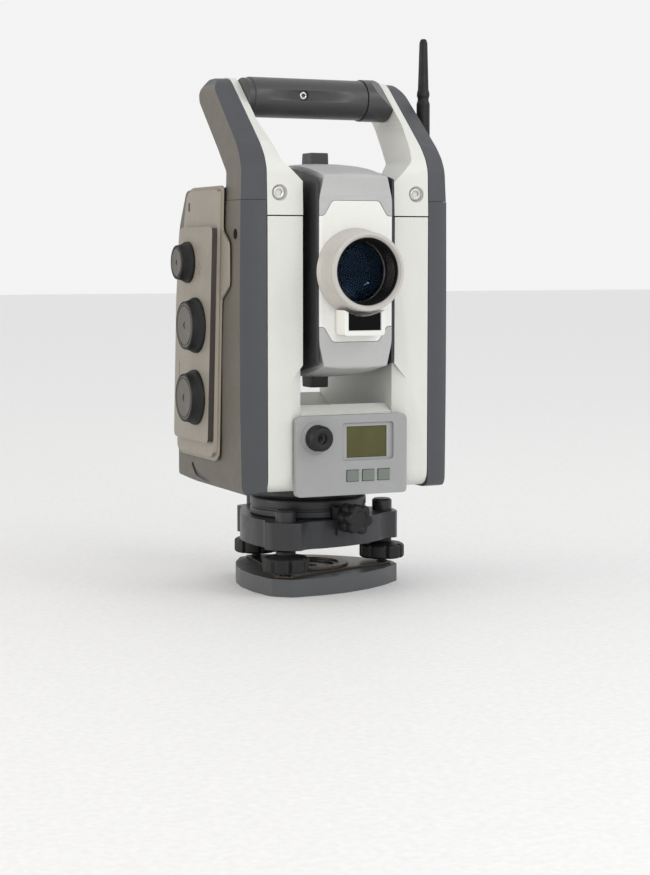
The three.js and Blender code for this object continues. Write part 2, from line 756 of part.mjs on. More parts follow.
const GRIP_Y = -12;
const GRIP_Z = 405;
const GRIP_HALF = [20, 16.25]; // along Y and Z
function ellipse(halfY, halfZ, sides = 24) {
  const points = [];
  for (let i = 0; i < sides; i++) {
    const a = (2 * Math.PI * i) / sides;
    points.push(new THREE.Vector2(GRIP_Y + halfY * Math.cos(a), GRIP_Z + halfZ * Math.sin(a)));
  }
  return new THREE.Shape(points);
}

function grip() {
  const bar = extrudeX(ellipse(...GRIP_HALF), -59, 41);
  const collar = extrudeX(ellipse(19, 15.4), -64, -58);
  const seat = rod(4, -GRIP_Y + GRIP_HALF[0] - 3, 60, [-17, 0, GRIP_Z + 1], FORWARD, 16);
  return cut(join(bar, collar), seat);
}
// The end block narrows towards the arm, so that the arm's front edge stands clear of it.
function gripEndBlock() {
  const [from, to] = [41.3, OUTER_X - 6.5];
  const rise = 1.153; // slope of the arm's front edge, y per z
  const low = GRIP_Z - 30;
  const edge = -67.9 + rise * (low - 365); // where that edge is at height low
  const wedge = slab(
    outline([
      [from + 5, edge - 20],
      [to + 1, edge + 1],
      [to + 1, edge - 80],
      [from + 5, edge - 80],
    ]),
    60,
  );
  wedge.applyMatrix4(new THREE.Matrix4().set(1, 0, 0, 0, 0, 1, rise, 0, 0, 0, 1, low, 0, 0, 0, 1));
  return cut(extrudeX(ellipse(20.6, 17.2), from, to), toSolid(wedge));
}

inGroup("handle", "grip", grip(), CHARCOAL);
inGroup("handle", "grip_end_block", gripEndBlock(), CHARCOAL);
for (const [side, sign] of SIDES) {
  inGroup("handle", `handle_arm_${side}`, handleArm(sign), LIGHT);
  inGroup("handle", `handle_cover_${side}`, handleCover(sign), SLATE);
}

// ---- Front display panel ------------------------------------------------------------
const WINDOW = [-8.6, 112.4, 37, 143]; // bevelled recess around the display
const SCREEN = [-3.6, 114.8, 31.4, 139.5];
const KEY_X = [0.4, 14.3, 28];
const KEY_Z = 100.2;
const KEY_HALF = [5.2, 4.5];
const KEY_PROUD = 1;
const EYEPIECE = [-31.5, 0, 132];
const BEZEL_DEPTH = 2.2;

function displayPanel() {
  const face = extrudeY(
    outline([
      [-PANEL_X, PANEL_BOTTOM, 4],
      [PANEL_X, PANEL_BOTTOM, 4],
      [PANEL_X, PANEL_TOP, 6],
      [-PANEL_X, PANEL_TOP, 6],
    ]),
    PANEL_FRONT,
    FRONT_Y - GAP,
    5,
  );
  const core = block(-INNER_X + 0.6, INNER_X - 0.6, FRONT_Y - 1, BEVEL_Y - GAP, 90, 147);
  const recess = extrudeY(rect(...WINDOW, 3), PANEL_FRONT - 1, PANEL_FRONT + BEZEL_DEPTH, 3);
  const screenSeat = extrudeY(
    rect(SCREEN[0] - GAP, SCREEN[1] - GAP, SCREEN[2] + GAP, SCREEN[3] + GAP),
    PANEL_FRONT - 1,
    PANEL_FRONT + BEZEL_DEPTH + 2.4,
  );
  const keyWells = KEY_X.map((x) => {
    const [halfX, halfZ] = KEY_HALF.map((half) => half + GAP);
    const well = rect(x - halfX, KEY_Z - halfZ, x + halfX, KEY_Z + halfZ);
    return extrudeY(well, PANEL_FRONT - 1, PANEL_FRONT + 5);
  });
  const collar = rod(13, -PANEL_FRONT - 1, -PANEL_FRONT + 2, EYEPIECE, FORWARD, 20);
  const tube = rod(7, -PANEL_FRONT - 1, -PANEL_FRONT + 6, EYEPIECE, FORWARD, 14);
  const bore = rod(4, -PANEL_FRONT - 4, -PANEL_FRONT + 9, EYEPIECE, FORWARD, 10);
  return cut(join(face, core, collar, tube), recess, screenSeat, ...keyWells, bore);
}
const displayScreen = () =>
  extrudeY(rect(...SCREEN), PANEL_FRONT + BEZEL_DEPTH + 0.6, PANEL_FRONT + BEZEL_DEPTH + 2.1);
function displayKey(x) {
  const shape = rect(x - KEY_HALF[0], KEY_Z - KEY_HALF[1], x + KEY_HALF[0], KEY_Z + KEY_HALF[1], 1.2);
  return extrudeY(shape, PANEL_FRONT - KEY_PROUD, PANEL_FRONT + 3.6, 2);
}
function plummetRing() {
  const base = -PANEL_FRONT + 2.3;
  const profile = [[7.3, base], [10.6, base], [10.2, base + 8], [8, base + 11], [3.6, base + 11]];
  profile.push([3.6, base + 7], [7.3, base + 6], [7.3, base]);
  return turned(profile, EYEPIECE, FORWARD, 18);
}

inGroup("alidade", "display_panel", displayPanel(), GREY);
inGroup("alidade", "display_screen", displayScreen(), LCD);
KEY_X.forEach((x, i) => {
  inGroup("alidade", `display_key_${i + 1}`, displayKey(x), GREY);
});
inGroup("alidade", "plummet_focus_ring", plummetRing(), BLACK);

// ---- Telescope ----------------------------------------------------------------------
const CASE_WALL = 8.4;
const CASE_TOP = 88; // crown above the trunnion axis
const FACE_TOP = 77;
function caseProfile(inset) {
  const top = TRUNNION_Z + CASE_TOP - inset;
  const bottom = TRUNNION_Z - CASE_TOP + inset;
  const high = TRUNNION_Z + FACE_TOP - inset;
  const low = TRUNNION_Z - FACE_TOP + inset;
  const front = SCOPE_FRONT + inset;
  return outline([
    [front, low, 3],
    [-55, bottom + 2, 20],
    [-10, bottom, 14],
    [40, bottom + 12, 20],
    [SCOPE_BACK, low + 34, 8],
    [SCOPE_BACK, high - 34, 8],
    [40, top - 12, 20],
    [-10, top, 14],
    [-55, top - 2, 20],
    [front, high, 3],
  ]);
}

const CHEEK = 1.8; // thickness of the body's side cheeks
const CAP_X = SCOPE_X - CHEEK - GAP;
// Tilted copies of the profile that the case is trimmed to, which crown its top and bottom.
const CROWN = [[4, 0.35], [9, 1.3]]; // degrees and outward offset

function crowned(profileInset, half) {
  const parts = CROWN.flatMap(([degrees, offset]) =>
    [-degrees, degrees].map((turn) =>
      extrudeX(caseProfile(profileInset - offset), -60, 60, 5)
        .translate([0, 0, -TRUNNION_Z])
        .rotate([0, turn, 0])
        .translate([0, 0, TRUNNION_Z]),
    ),
  );
  return common(extrudeX(caseProfile(profileInset), -half, half, 5), ...parts);
}

// Front view of a cap: its sides draw in towards the crown.
function capFront() {
  const point = (x, up, r = 0) => [x, TRUNNION_Z + up, r];
  const narrow = CAP_X - 4.6;
  return outline([
    point(-CAP_X, -PLATE_HALF_Z),
    point(-CAP_X, -57, 4),
    point(-narrow, -FACE_TOP),
    point(-narrow, -100),
    point(narrow, -100),
    point(narrow, -FACE_TOP),
    point(CAP_X, -57, 4),
    point(CAP_X, 57, 4),
    point(narrow, FACE_TOP),
    point(narrow, 100),
    point(-narrow, 100),
    point(-narrow, FACE_TOP),
    point(-CAP_X, 57, 4),
  ]);
}

// The middle plate of the front, with a tab that rises into each cap.
const PLATE_HALF_Z = 43.7;
const TAB_HALF_Z = 55.7;
function middleOutline(clearance) {
  const z = PLATE_HALF_Z + clearance;
  const tab = TAB_HALF_Z + clearance;
  const foot = 27.5 + clearance;
  const crown = 20.2 + clearance;
  const wide = SCOPE_X + 5;
  const point = (x, up, r) => [x, TRUNNION_Z + up, r];
  return outline([
    point(-wide, -z),
    point(-foot, -z, 2),
    point(-crown, -tab, 2),
    point(crown, -tab, 2),
    point(foot, -z, 2),
    point(wide, -z),
    point(wide, z),
    point(foot, z, 2),
    point(crown, tab, 2),
    point(-crown, tab, 2),
    point(-foot, z, 2),
    point(-wide, z),
  ]);
}

const SCOPE_SHAFT_R = 11;
const RIM_Y = 119.3; // objective rim in front of the trunnion axis
const RIM_R = 31;
const LENS_R = 26;
const SIGHT_LINE = [0, 0, TRUNNION_Z];

function scopeCase() {
  const shell = crowned(0, SCOPE_X);
  const inside = extrudeX(caseProfile(CASE_WALL), -SCOPE_X - 1, SCOPE_X + 1, 5);
  return { shell, inside };
}

function scopePieces() {
  const { shell, inside } = scopeCase();
  const coreRoom = extrudeX(caseProfile(CASE_WALL - GAP), -50, 50, 5);
  const tapered = extrudeY(capFront(), SCOPE_FRONT - 1, SCOPE_BACK, 3);
  const skin = cut(common(shell, tapered), coreRoom, block(-50, 50, 52, 120, 100, 400));
  const plateZone = extrudeY(middleOutline(0), -110, -70, 2);
  const plateRoom = extrudeY(middleOutline(GAP), -110, -70, 2);
  const objectiveHole = rod(27.6, 60, 130, SIGHT_LINE, FORWARD, 32);
  const above = block(-60, 60, -120, 120, TRUNNION_Z, 420);
  const below = block(-60, 60, -120, 120, 100, TRUNNION_Z);
  const sides = cut(
    common(shell, inside),
    block(-50, 50, 52.2, 120, 100, 400),
  );
  const tail = common(shell, block(-50, 50, 52.2, 120, 100, 400));
  const cheeks = cut(crowned(1, SCOPE_X), block(-CAP_X - GAP, CAP_X + GAP, -120, 120, 100, 400));
  const tube = rod(28, 40, 86.3, SIGHT_LINE, FORWARD, ROUND);
  const bore = rod(25.4, 20, 130, SIGHT_LINE, FORWARD, ROUND);
  const eyeTube = rod(13, SCOPE_BACK - 2, SCOPE_BACK + 8, SIGHT_LINE, BACKWARD, 16);
  const eyeStem = rod(9.4, SCOPE_BACK, SCOPE_BACK + 26, SIGHT_LINE, BACKWARD, 16);
  const eyeBore = rod(7, -30, SCOPE_BACK + 30, SIGHT_LINE, BACKWARD, 12);
  const sockets = rod(SCOPE_SHAFT_R + GAP, -60, 60, SIGHT_LINE, RIGHT, 20);
  const socketCore = block(-26, 26, -40, 40, TRUNNION_Z - 40, TRUNNION_Z + 40);
  return {
    body: cut(join(sides, tail, cheeks, tube, eyeTube, eyeStem), bore, eyeBore, cut(sockets, socketCore)),
    upper: cut(common(skin, above), plateRoom),
    lower: cut(common(skin, below), plateRoom),
    plate: cut(common(skin, plateZone), objectiveHole),
  };
}

function objectiveBarrel() {
  const back = -SCOPE_FRONT - 8;
  return turned(
    [
      [LENS_R - 0.3, back],
      [27.3, back],
      [27.3, -SCOPE_FRONT + GAP],
      [34.5, -SCOPE_FRONT + GAP],
      [32.6, -SCOPE_FRONT + 4],
      [RIM_R + 0.4, -SCOPE_FRONT + 10],
      [RIM_R, RIM_Y - 1.2],
      [RIM_R - 1, RIM_Y],
      [LENS_R + 1, RIM_Y],
      [LENS_R, RIM_Y - 1.5],
      [LENS_R - 0.3, back],
    ],
    SIGHT_LINE,
    FORWARD,
    32,
  );
}
function objectiveLens() {
  const profile = [[0, 84], [25, 84], [25, 93], [18, 95.8], [9, 97.6], [0, 98.2]];
  return turned(profile, SIGHT_LINE, FORWARD, ROUND);
}

const SENSOR = { half: 14, z0: 218, z1: 234 };
const SENSOR_FRAME = { half: 17.6, z0: 213.6, z1: 238 };
const SENSOR_Y = 112;
function sensorFrame() {
  const { half, z0, z1 } = SENSOR_FRAME;
  const box = extrudeY(rect(-half, z0, half, z1, 3), -SENSOR_Y, SCOPE_FRONT - GAP, 3);
  const barrelRoom = rod(35, 80, 130, SIGHT_LINE, FORWARD, 32);
  const recess = extrudeY(
    rect(-SENSOR.half - GAP, SENSOR.z0 - GAP, SENSOR.half + GAP, 250),
    -SENSOR_Y - 1,
    -SENSOR_Y + 6,
  );
  return cut(box, barrelRoom, recess);
}
function sensorGlass() {
  const { half, z0, z1 } = SENSOR;
  const plate = extrudeY(rect(-half, z0, half, z1 + 3), -SENSOR_Y + 1.5, -SENSOR_Y + 5.6);
  return cut(plate, rod(35.3, 80, 130, SIGHT_LINE, FORWARD, 32));
}

// An open coarse sight, above or below the case.
function sight(up) {
  const tip = TRUNNION_Z + up * (CASE_TOP + 8.6);
  return extrudeX(
    outline([
      [-25.5, TRUNNION_Z + up * (CASE_TOP - 6)],
      [-24.5, tip, 1],
      [-6, tip, 1],
      [-4, TRUNNION_Z + up * (CASE_TOP - 6)],
    ]),
    -7.5,
    7.5,
    2,
  );
}

function eyepieceRing() {
  const b = SCOPE_BACK + 8.4;
  const profile = [[9.8, b], [14.5, b], [14.5, b + 13], [12.4, b + 15.5], [9.8, b + 15.5], [9.8, b]];
  return turned(profile, SIGHT_LINE, BACKWARD, 20);
}
function eyepieceLens() {
  const b = SCOPE_BACK;
  return turned([[0, b + 18], [6.7, b + 18], [6.7, b + 22], [0, b + 23.4]], SIGHT_LINE, BACKWARD, 14);
}

const trunnionShaft = (axis) => {
  const profile = [[0, 26.6], [SCOPE_SHAFT_R, 26.6], [SCOPE_SHAFT_R, 52], [0, 52]];
  return turned(profile, SIGHT_LINE, axis, FINE);
};
const trunnionBearing = (axis) =>
  ring(SCOPE_SHAFT_R + GAP, BEARING_R, INNER_X + 0.4, POCKET_X, SIGHT_LINE, axis, 20);
const verticalCircle = () => ring(SCOPE_SHAFT_R + GAP, 28, 48, 51, SIGHT_LINE, RIGHT, ROUND);

const scope = scopePieces();
const topSight = cut(sight(1), scopeCase().shell);
const bottomSight = cut(sight(-1), scopeCase().shell);
inGroup("telescope", "telescope_body", scope.body, CHARCOAL);
inGroup("telescope", "telescope_upper_cap", scope.upper, GREY);
inGroup("telescope", "telescope_lower_cap", scope.lower, GREY);
inGroup("telescope", "telescope_front_plate", scope.plate, LIGHT);
inGroup("telescope", "objective_barrel", objectiveBarrel(), LIGHT);
inGroup("telescope", "objective_lens", objectiveLens(), GLASS);
inGroup("telescope", "sensor_frame", sensorFrame(), LIGHT);
inGroup("telescope", "sensor_window", sensorGlass(), GLASS);
inGroup("telescope", "top_sight", topSight, CHARCOAL);
inGroup("telescope", "bottom_sight", bottomSight, CHARCOAL);
inGroup("telescope", "eyepiece_focus_ring", eyepieceRing(), BLACK);
inGroup("telescope", "eyepiece_lens", eyepieceLens(), GLASS);
inGroup("telescope", "trunnion_shaft_left", trunnionShaft(LEFT), STEEL);
inGroup("telescope", "trunnion_shaft_right", trunnionShaft(RIGHT), STEEL);
inGroup("telescope", "vertical_circle", verticalCircle(), GLASS);
inGroup("alidade", "trunnion_bearing_left", trunnionBearing(LEFT), STEEL);
inGroup("alidade", "trunnion_bearing_right", trunnionBearing(RIGHT), STEEL);

// ---- Rear docking plate for a control unit ------------------------------------------
function controlDock() {
  const plate = extrudeY(rect(-60, 96, 60, 150, 8), BACK_Y + GAP, BACK_Y + 5, 4);
  const rails = [-1, 1].map((s) => {
    const xs = [s * 44, s * 52].sort((a, b) => a - b);
    return block(xs[0], xs[1], BACK_Y + 4, BACK_Y + 9, 104, 142);
  });
  const socket = extrudeY(rect(-17, 102, 17, 114, 4), BACK_Y + 2.5, BACK_Y + 12, 3);
  return cut(join(plate, ...rails), socket);
}
inGroup("alidade", "control_dock", controlDock(), CHARCOAL);

export default instrument;
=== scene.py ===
"""Looks of a surveying total station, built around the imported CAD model."""

import json
import math

import bmesh
import bpy
from mathutils import Matrix, Vector

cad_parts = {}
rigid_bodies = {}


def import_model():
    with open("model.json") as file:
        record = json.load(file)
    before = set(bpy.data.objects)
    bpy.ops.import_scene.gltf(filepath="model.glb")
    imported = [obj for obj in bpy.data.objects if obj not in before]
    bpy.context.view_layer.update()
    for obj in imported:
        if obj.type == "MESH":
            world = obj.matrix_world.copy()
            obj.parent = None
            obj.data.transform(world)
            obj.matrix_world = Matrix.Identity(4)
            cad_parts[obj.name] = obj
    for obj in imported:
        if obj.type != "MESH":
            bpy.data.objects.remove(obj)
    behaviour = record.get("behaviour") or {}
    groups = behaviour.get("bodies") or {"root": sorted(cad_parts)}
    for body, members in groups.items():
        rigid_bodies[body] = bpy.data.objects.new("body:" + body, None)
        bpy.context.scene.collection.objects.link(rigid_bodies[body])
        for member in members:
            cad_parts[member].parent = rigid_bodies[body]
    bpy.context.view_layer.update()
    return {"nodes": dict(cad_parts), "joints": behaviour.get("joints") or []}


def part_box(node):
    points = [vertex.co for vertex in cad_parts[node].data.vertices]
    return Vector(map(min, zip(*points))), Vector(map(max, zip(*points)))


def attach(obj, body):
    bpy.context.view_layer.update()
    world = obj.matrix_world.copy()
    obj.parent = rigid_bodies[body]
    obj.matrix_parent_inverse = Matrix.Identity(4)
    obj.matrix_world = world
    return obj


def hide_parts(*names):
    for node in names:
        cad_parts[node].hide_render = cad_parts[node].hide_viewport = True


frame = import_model()
NODES = frame["nodes"]
MM = 0.001

# Named sizes, in millimetres unless the name says otherwise.
SMOOTH_DEGREES = 35.0
ARM_SCREW_X = 60
ARM_SCREW_Z = 325.8
ARM_SCREW_FRONT = 80.9
ARM_SCREW_RADIUS = 5.7
GRIP_SCREW_X = -17
GRIP_SEAT_RADIUS = 4.2
BUMPER_FACE = -92
ANTENNA_FOOT_Z = 333.3
LOCK_WAIST_Z = 71.5
BARREL_SEAT = 95.3

# The stage: light strength, floor half-size in metres, and the camera.
WORLD_LIGHT = 0.9
FLOOR_REACH = 12
SENSOR_WIDTH = 36
FOCAL_LENGTH = 80.27
CAMERA_AT = (-0.6603, -1.5016, 0.2766)
CAMERA_BACK = (-0.4088, -0.9079, 0.0929)

# Axis names to rotations that take +Z onto them.
TURNS = {
    "Z": Matrix.Identity(4),
    "-Z": Matrix.Rotation(math.pi, 4, "X"),
    "X": Matrix.Rotation(math.pi / 2, 4, "Y"),
    "-X": Matrix.Rotation(-math.pi / 2, 4, "Y"),
    "Y": Matrix.Rotation(-math.pi / 2, 4, "X"),
    "-Y": Matrix.Rotation(math.pi / 2, 4, "X"),
}


# ---- Materials ------------------------------------------------------------------------
class Nodes:
    """A short way to write a node tree."""

    def __init__(self, name):
        self.material = bpy.data.materials.new(name)
        self.material.use_nodes = True
        self.tree = self.material.node_tree
        self.shader = self.tree.nodes["Principled BSDF"]

    def add(self, kind, **inputs):
        node = self.tree.nodes.new("ShaderNode" + kind)
        for key, value in inputs.items():
            socket = node.inputs[key.replace("_", " ")]
            if isinstance(value, bpy.types.NodeSocket):
                self.tree.links.new(value, socket)
            else:
                socket.default_value = value
        return node

    def link(self, out, socket):
        self.tree.links.new(out, socket)

    def coordinates(self):
        return self.tree.nodes.new("ShaderNodeTexCoord").outputs["Object"]

    def noise(self, scale, detail=3.0, roughness=0.55, vector=None):
        node = self.add("TexNoise", Scale=scale, Detail=detail, Roughness=roughness)
        self.link(vector or self.coordinates(), node.inputs["Vector"])
        return node.outputs["Fac"]

    def spread(self, value, low, high, start=0.3, end=0.7):
        node = self.add("MapRange", Value=value)
        node.inputs["From Min"].default_value = start
        node.inputs["From Max"].default_value = end
        node.inputs["To Min"].default_value = low
        node.inputs["To Max"].default_value = high
        return node.outputs["Result"]

    def mix(self, factor, a, b):
        node = self.tree.nodes.new("ShaderNodeMix")
        node.data_type = "RGBA"
        for value, key in ((factor, "Factor"), (a, "A"), (b, "B")):
            socket = node.inputs[key]
            if isinstance(value, bpy.types.NodeSocket):
                self.link(value, socket)
            else:
                socket.default_value = value
        return node.outputs["Result"]

    def bump(self, height, strength, distance):
        node = self.add("Bump", Height=height, Strength=strength, Distance=distance)
        self.link(node.outputs["Normal"], self.shader.inputs["Normal"])
        return node


def tint(color, factor):
    return (*[min(1.0, c * factor) for c in color[:3]], 1.0)


def linear(r, g, b):
    """An 8-bit screen colour as linear light."""
    def one(v):
        v /= 255
        return v / 12.92 if v <= 0.04045 else ((v + 0.055) / 1.055) ** 2.4
    return (one(r), one(g), one(b), 1.0)


def surface(name, color, rough=(0.42, 0.55), grain=900.0, grain_depth=0.00004, metallic=0.0,
            wear=0.25, specular=0.5, mottle=0.05):
    """A moulded or painted surface: fine grain, faint mottling, worn edges and uneven gloss."""
    n = Nodes(name)
    cloud = n.noise(38.0, 4.0)
    fine = n.noise(grain, 2.0)
    base = n.mix(n.spread(cloud, 0.0, 1.0), tint(color, 1 - mottle), tint(color, 1 + mottle))
    speck = n.mix(n.spread(fine, 0.0, 0.5), base, tint(color, 0.86))
    edge = n.tree.nodes.new("ShaderNodeNewGeometry").outputs["Pointiness"]
    worn = n.spread(edge, 0.0, wear, 0.51, 0.56)
    n.link(n.mix(worn, speck, tint(color, 1.35)), n.shader.inputs["Base Color"])
    smear = n.noise(120.0, 5.0, 0.6)
    n.link(n.spread(smear, rough[0], rough[1]), n.shader.inputs["Roughness"])
    n.bump(fine, 0.55, grain_depth)
    n.shader.inputs["Metallic"].default_value = metallic
    n.shader.inputs["Specular IOR Level"].default_value = specular
    return n.material


def turned_metal(name, color, axis="Z", rough=(0.2, 0.34), lines=4200.0):
    """Machined metal with fine turning marks stacked along one axis."""
    n = Nodes(name)
    split = n.add("SeparateXYZ", Vector=n.coordinates())
    along = n.add("CombineXYZ", Z=split.outputs[axis])
    marks = n.noise(lines, 2.0, 0.7, along.outputs["Vector"])
    cloud = n.noise(60.0, 4.0)
    base = n.mix(n.spread(cloud, 0, 1), tint(color, 0.86), tint(color, 1.06))
    n.link(base, n.shader.inputs["Base Color"])
    n.link(n.spread(marks, rough[0], rough[1]), n.shader.inputs["Roughness"])
    n.bump(marks, 0.35, 0.00002)
    n.shader.inputs["Metallic"].default_value = 1.0
    return n.material


def clear_glass(name, reflection):
    """Transparent lens glass whose coating colours what it reflects."""
    n = Nodes(name)
    haze = n.noise(150.0, 4.0)
    n.link(n.spread(haze, 0.0, 0.015), n.shader.inputs["Roughness"])
    n.link(n.mix(n.spread(haze, 0, 1), (0.96, 0.98, 1, 1), (1, 1, 1, 1)), n.shader.inputs["Base Color"])
    n.shader.inputs["Transmission Weight"].default_value = 1.0
    n.shader.inputs["IOR"].default_value = 1.45
    n.shader.inputs["Specular Tint"].default_value = reflection
    return n.material


def coated_glass(name, color, film=420.0, rough=0.03, reflection=(1, 1, 1, 1), gloss=0.5):
    """Optical glass: the base colour sets how dark it looks, and the coating tints its reflections."""
    n = Nodes(name)
    haze = n.noise(150.0, 4.0)
    n.link(n.mix(n.spread(haze, 0, 1), tint(color, 0.8), tint(color, 1.2)), n.shader.inputs["Base Color"])
    n.link(n.spread(haze, rough, rough * 2.2), n.shader.inputs["Roughness"])
    n.shader.inputs["IOR"].default_value = 1.45
    n.shader.inputs["Specular IOR Level"].default_value = gloss
    n.shader.inputs["Specular Tint"].default_value = reflection
    n.shader.inputs["Thin Film Thickness"].default_value = film
    n.shader.inputs["Thin Film IOR"].default_value = 1.38
    return n.material


def display_glass(name, color):
    """A reflective display: faint cell grid under a smooth pane."""
    n = Nodes(name)
    split = n.add("SeparateXYZ", Vector=n.coordinates())
    cells = []
    for axis in ("X", "Z"):
        wave = n.add("Math", Value=split.outputs[axis])
        wave.operation = "MULTIPLY"
        wave.inputs[1].default_value = 2 * math.pi / (0.45 * MM)
        sine = n.add("Math", Value=wave.outputs[0])
        sine.operation = "SINE"
        cells.append(n.spread(sine.outputs[0], 0.0, 1.0, 0.75, 1.0))
    grid = n.add("Math", Value=cells[0])
    grid.operation = "MAXIMUM"
    n.link(cells[1], grid.inputs[1])
    cloud = n.noise(70.0, 2.0)
    base = n.mix(n.spread(cloud, 0, 1), tint(color, 0.88), tint(color, 1.12))
    celled = n.mix(n.spread(grid.outputs[0], 0.0, 0.22, 0, 1), base, tint(color, 0.55))
    n.link(celled, n.shader.inputs["Base Color"])
    n.shader.inputs["Roughness"].default_value = 0.35
    n.shader.inputs["Specular IOR Level"].default_value = 0.2
    n.shader.inputs["Coat Weight"].default_value = 0.3
    n.shader.inputs["Coat Roughness"].default_value = 0.03
    return n.material


PAINT = surface("paint_light", linear(214, 214, 209), (0.36, 0.48), 1500, 0.00003, wear=0.2, mottle=0.02)
# Painted shade: the light paint darkened all over, standing in for the shade the columns cast on the
# objective mount.
BARREL_PAINTED_SHADE = surface("barrel_painted_shade", linear(190, 187, 182), (0.34, 0.44), 1500, 0.00003, wear=0.2, mottle=0.02)
PLATE = surface("paint_plate", linear(230, 230, 226), (0.3, 0.4), 1500, 0.00002, wear=0.2, mottle=0.015)
GREY = surface("plastic_grey", linear(178, 178, 178), (0.42, 0.55), 1100, 0.00004, wear=0.2, mottle=0.03)
PANEL = surface("plastic_panel", linear(154, 155, 155), (0.42, 0.55), 1100, 0.00004, wear=0.2, mottle=0.03)
SIDE = surface("plastic_side", linear(136, 131, 122), (0.42, 0.55), 1100, 0.00004, wear=0.2, mottle=0.03)
EDGE = surface("plastic_edge", linear(176, 169, 154), (0.4, 0.5), 1100, 0.00004, wear=0.2, mottle=0.03)
# Painted shade: a dark copy of the side plastic, put on the knob panel's front-facing walls for the shadow
# they stand in.
PANEL_EDGE_PAINTED_SHADE = surface("panel_edge_painted_shade", linear(64, 59, 55), (0.5, 0.6), 1100, 0.00004, wear=0.0, mottle=0.03)
# Painted light: a lighter, warmer copy of the bumper plastic for the sheen of the warm left lamp on the
# outer side faces of bumpers and handle covers.
BUMPER_SIDE_PAINTED_LIGHT = surface("bumper_side_painted_light", linear(92, 88, 80), (0.44, 0.56), 1300, 0.00006, wear=0.15, mottle=0.04)
BUMPER = surface("plastic_bumper", linear(66, 68, 72), (0.4, 0.55), 1300, 0.00006, wear=0.15, mottle=0.04)
GRIP = surface("plastic_grip", linear(62, 62, 64), (0.32, 0.44), 1300, 0.00005, wear=0.2, mottle=0.04)
DARK = surface("paint_dark", linear(44, 45, 48), (0.34, 0.46), 1000, 0.00006, wear=0.3, metallic=0.1)
BASE = surface("paint_base", linear(78, 80, 82), (0.36, 0.5), 900, 0.00006, wear=0.3, metallic=0.1)
RUBBER = surface("rubber_black", linear(24, 24, 25), (0.42, 0.6), 1400, 0.00007, wear=0.2, mottle=0.08,
                 specular=0.35)
# Painted sheen: the knob faces are black rubber, and this warm grey stands in for the left lamp's sheen on
# them.
KNOB_FACE_PAINTED_SHEEN = surface("knob_face_painted_sheen", linear(78, 75, 68), (0.34, 0.42), 1000, 0.00004, wear=0.2)
KEY = surface("key_cap", linear(106, 115, 108), (0.36, 0.46), 1000, 0.00003, wear=0.2)
HOLE = surface("recess_black", linear(9, 9, 9), (0.7, 0.85), 900, 0.00003, wear=0.0, specular=0.2)
BOARD = surface("circuit_board", linear(30, 84, 56), (0.3, 0.4), 500, 0.00008, wear=0.2)
STEEL = turned_metal("steel_turned", linear(205, 205, 203))
STEEL_Y = turned_metal("steel_screw", linear(205, 204, 200), "Y")
BRONZE = turned_metal("bronze_sheet", linear(96, 88, 80), "X", (0.35, 0.5), 900)
LENS = coated_glass("lens_coated", (0.0005, 0.0006, 0.001, 1), 0.0, 0.02, (0.2, 0.5, 1, 1), 0.08)
GLASS = clear_glass("lens_front", (0.07, 0.14, 0.24, 1))
WINDOW = coated_glass("window_dark", (0.001, 0.001, 0.0015, 1), 0.0, 0.06, gloss=0.15)
CRYSTAL = coated_glass("glass_clear", linear(150, 160, 150), 200.0)
LIQUID = coated_glass("level_liquid", linear(120, 150, 70), 200.0)
LCD = display_glass("lcd_olive", linear(78, 76, 38))


# ---- Mesh helpers ---------------------------------------------------------------------
def finish_mesh(name, bm, material, body):
    bmesh.ops.recalc_face_normals(bm, faces=bm.faces)
    mesh = bpy.data.meshes.new(name)
    bm.to_mesh(mesh)
    bm.free()
    for face in mesh.polygons:
        face.use_smooth = True
    mesh.set_sharp_from_angle(angle=math.radians(SMOOTH_DEGREES))
    mesh.materials.append(material)
    obj = bpy.data.objects.new(name, mesh)
    bpy.context.scene.collection.objects.link(obj)
    if body:
        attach(obj, body)
    return obj


def rounded(points, closed, steps=4):
    """The points, with each (a, b, r) corner replaced by a curve that starts r before it."""
    out = []
    count = len(points)
    for i, point in enumerate(points):
        a = Vector(point[:2])
        r = point[2] if len(point) > 2 else 0
        inner = closed or 0 < i < count - 1
        if not r or not inner:
            out.append(a)
            continue
        before = Vector(points[i - 1][:2]) - a
        after = Vector(points[(i + 1) % count][:2]) - a
        p = a + before.normalized() * min(r, before.length * 0.49)
        q = a + after.normalized() * min(r, after.length * 0.49)
        for k in range(steps + 1):
            t = k / steps
            out.append(p * (1 - t) ** 2 + a * 2 * t * (1 - t) + q * t * t)
    return out


def lathe(name, profile, centre, axis, material, body, segments=96, shape=None, closed=False):
    """A turned piece from (radius, height, rounding) points in millimetres. shape(radius, height,
    angle) may change a point's radius, for ribs, flutes and lobes."""
    bm = bmesh.new()
    points = rounded(profile, closed)
    rings = []
    for r, h in points:
        if r < 1e-6:
            rings.append([bm.verts.new((0, 0, h))])
            continue
        row = []
        for j in range(segments):
            a = 2 * math.pi * j / segments
            rr = shape(r, h, a) if shape else r
            row.append(bm.verts.new((rr * math.cos(a), rr * math.sin(a), h)))
        rings.append(row)
    pairs = list(zip(rings, rings[1:]))
    if closed:
        pairs.append((rings[-1], rings[0]))
    for low, high in pairs:
        for j in range(segments):
            k = (j + 1) % segments
            quad = [low[j % len(low)], low[k % len(low)], high[k % len(high)], high[j % len(high)]]
            face = list(dict.fromkeys(quad))
            if len(face) > 2:
                bm.faces.new(face)
    bm.transform(Matrix.Translation(Vector(centre)) @ Matrix.Scale(MM, 4) @ TURNS[axis])
    return finish_mesh(name, bm, material, body)


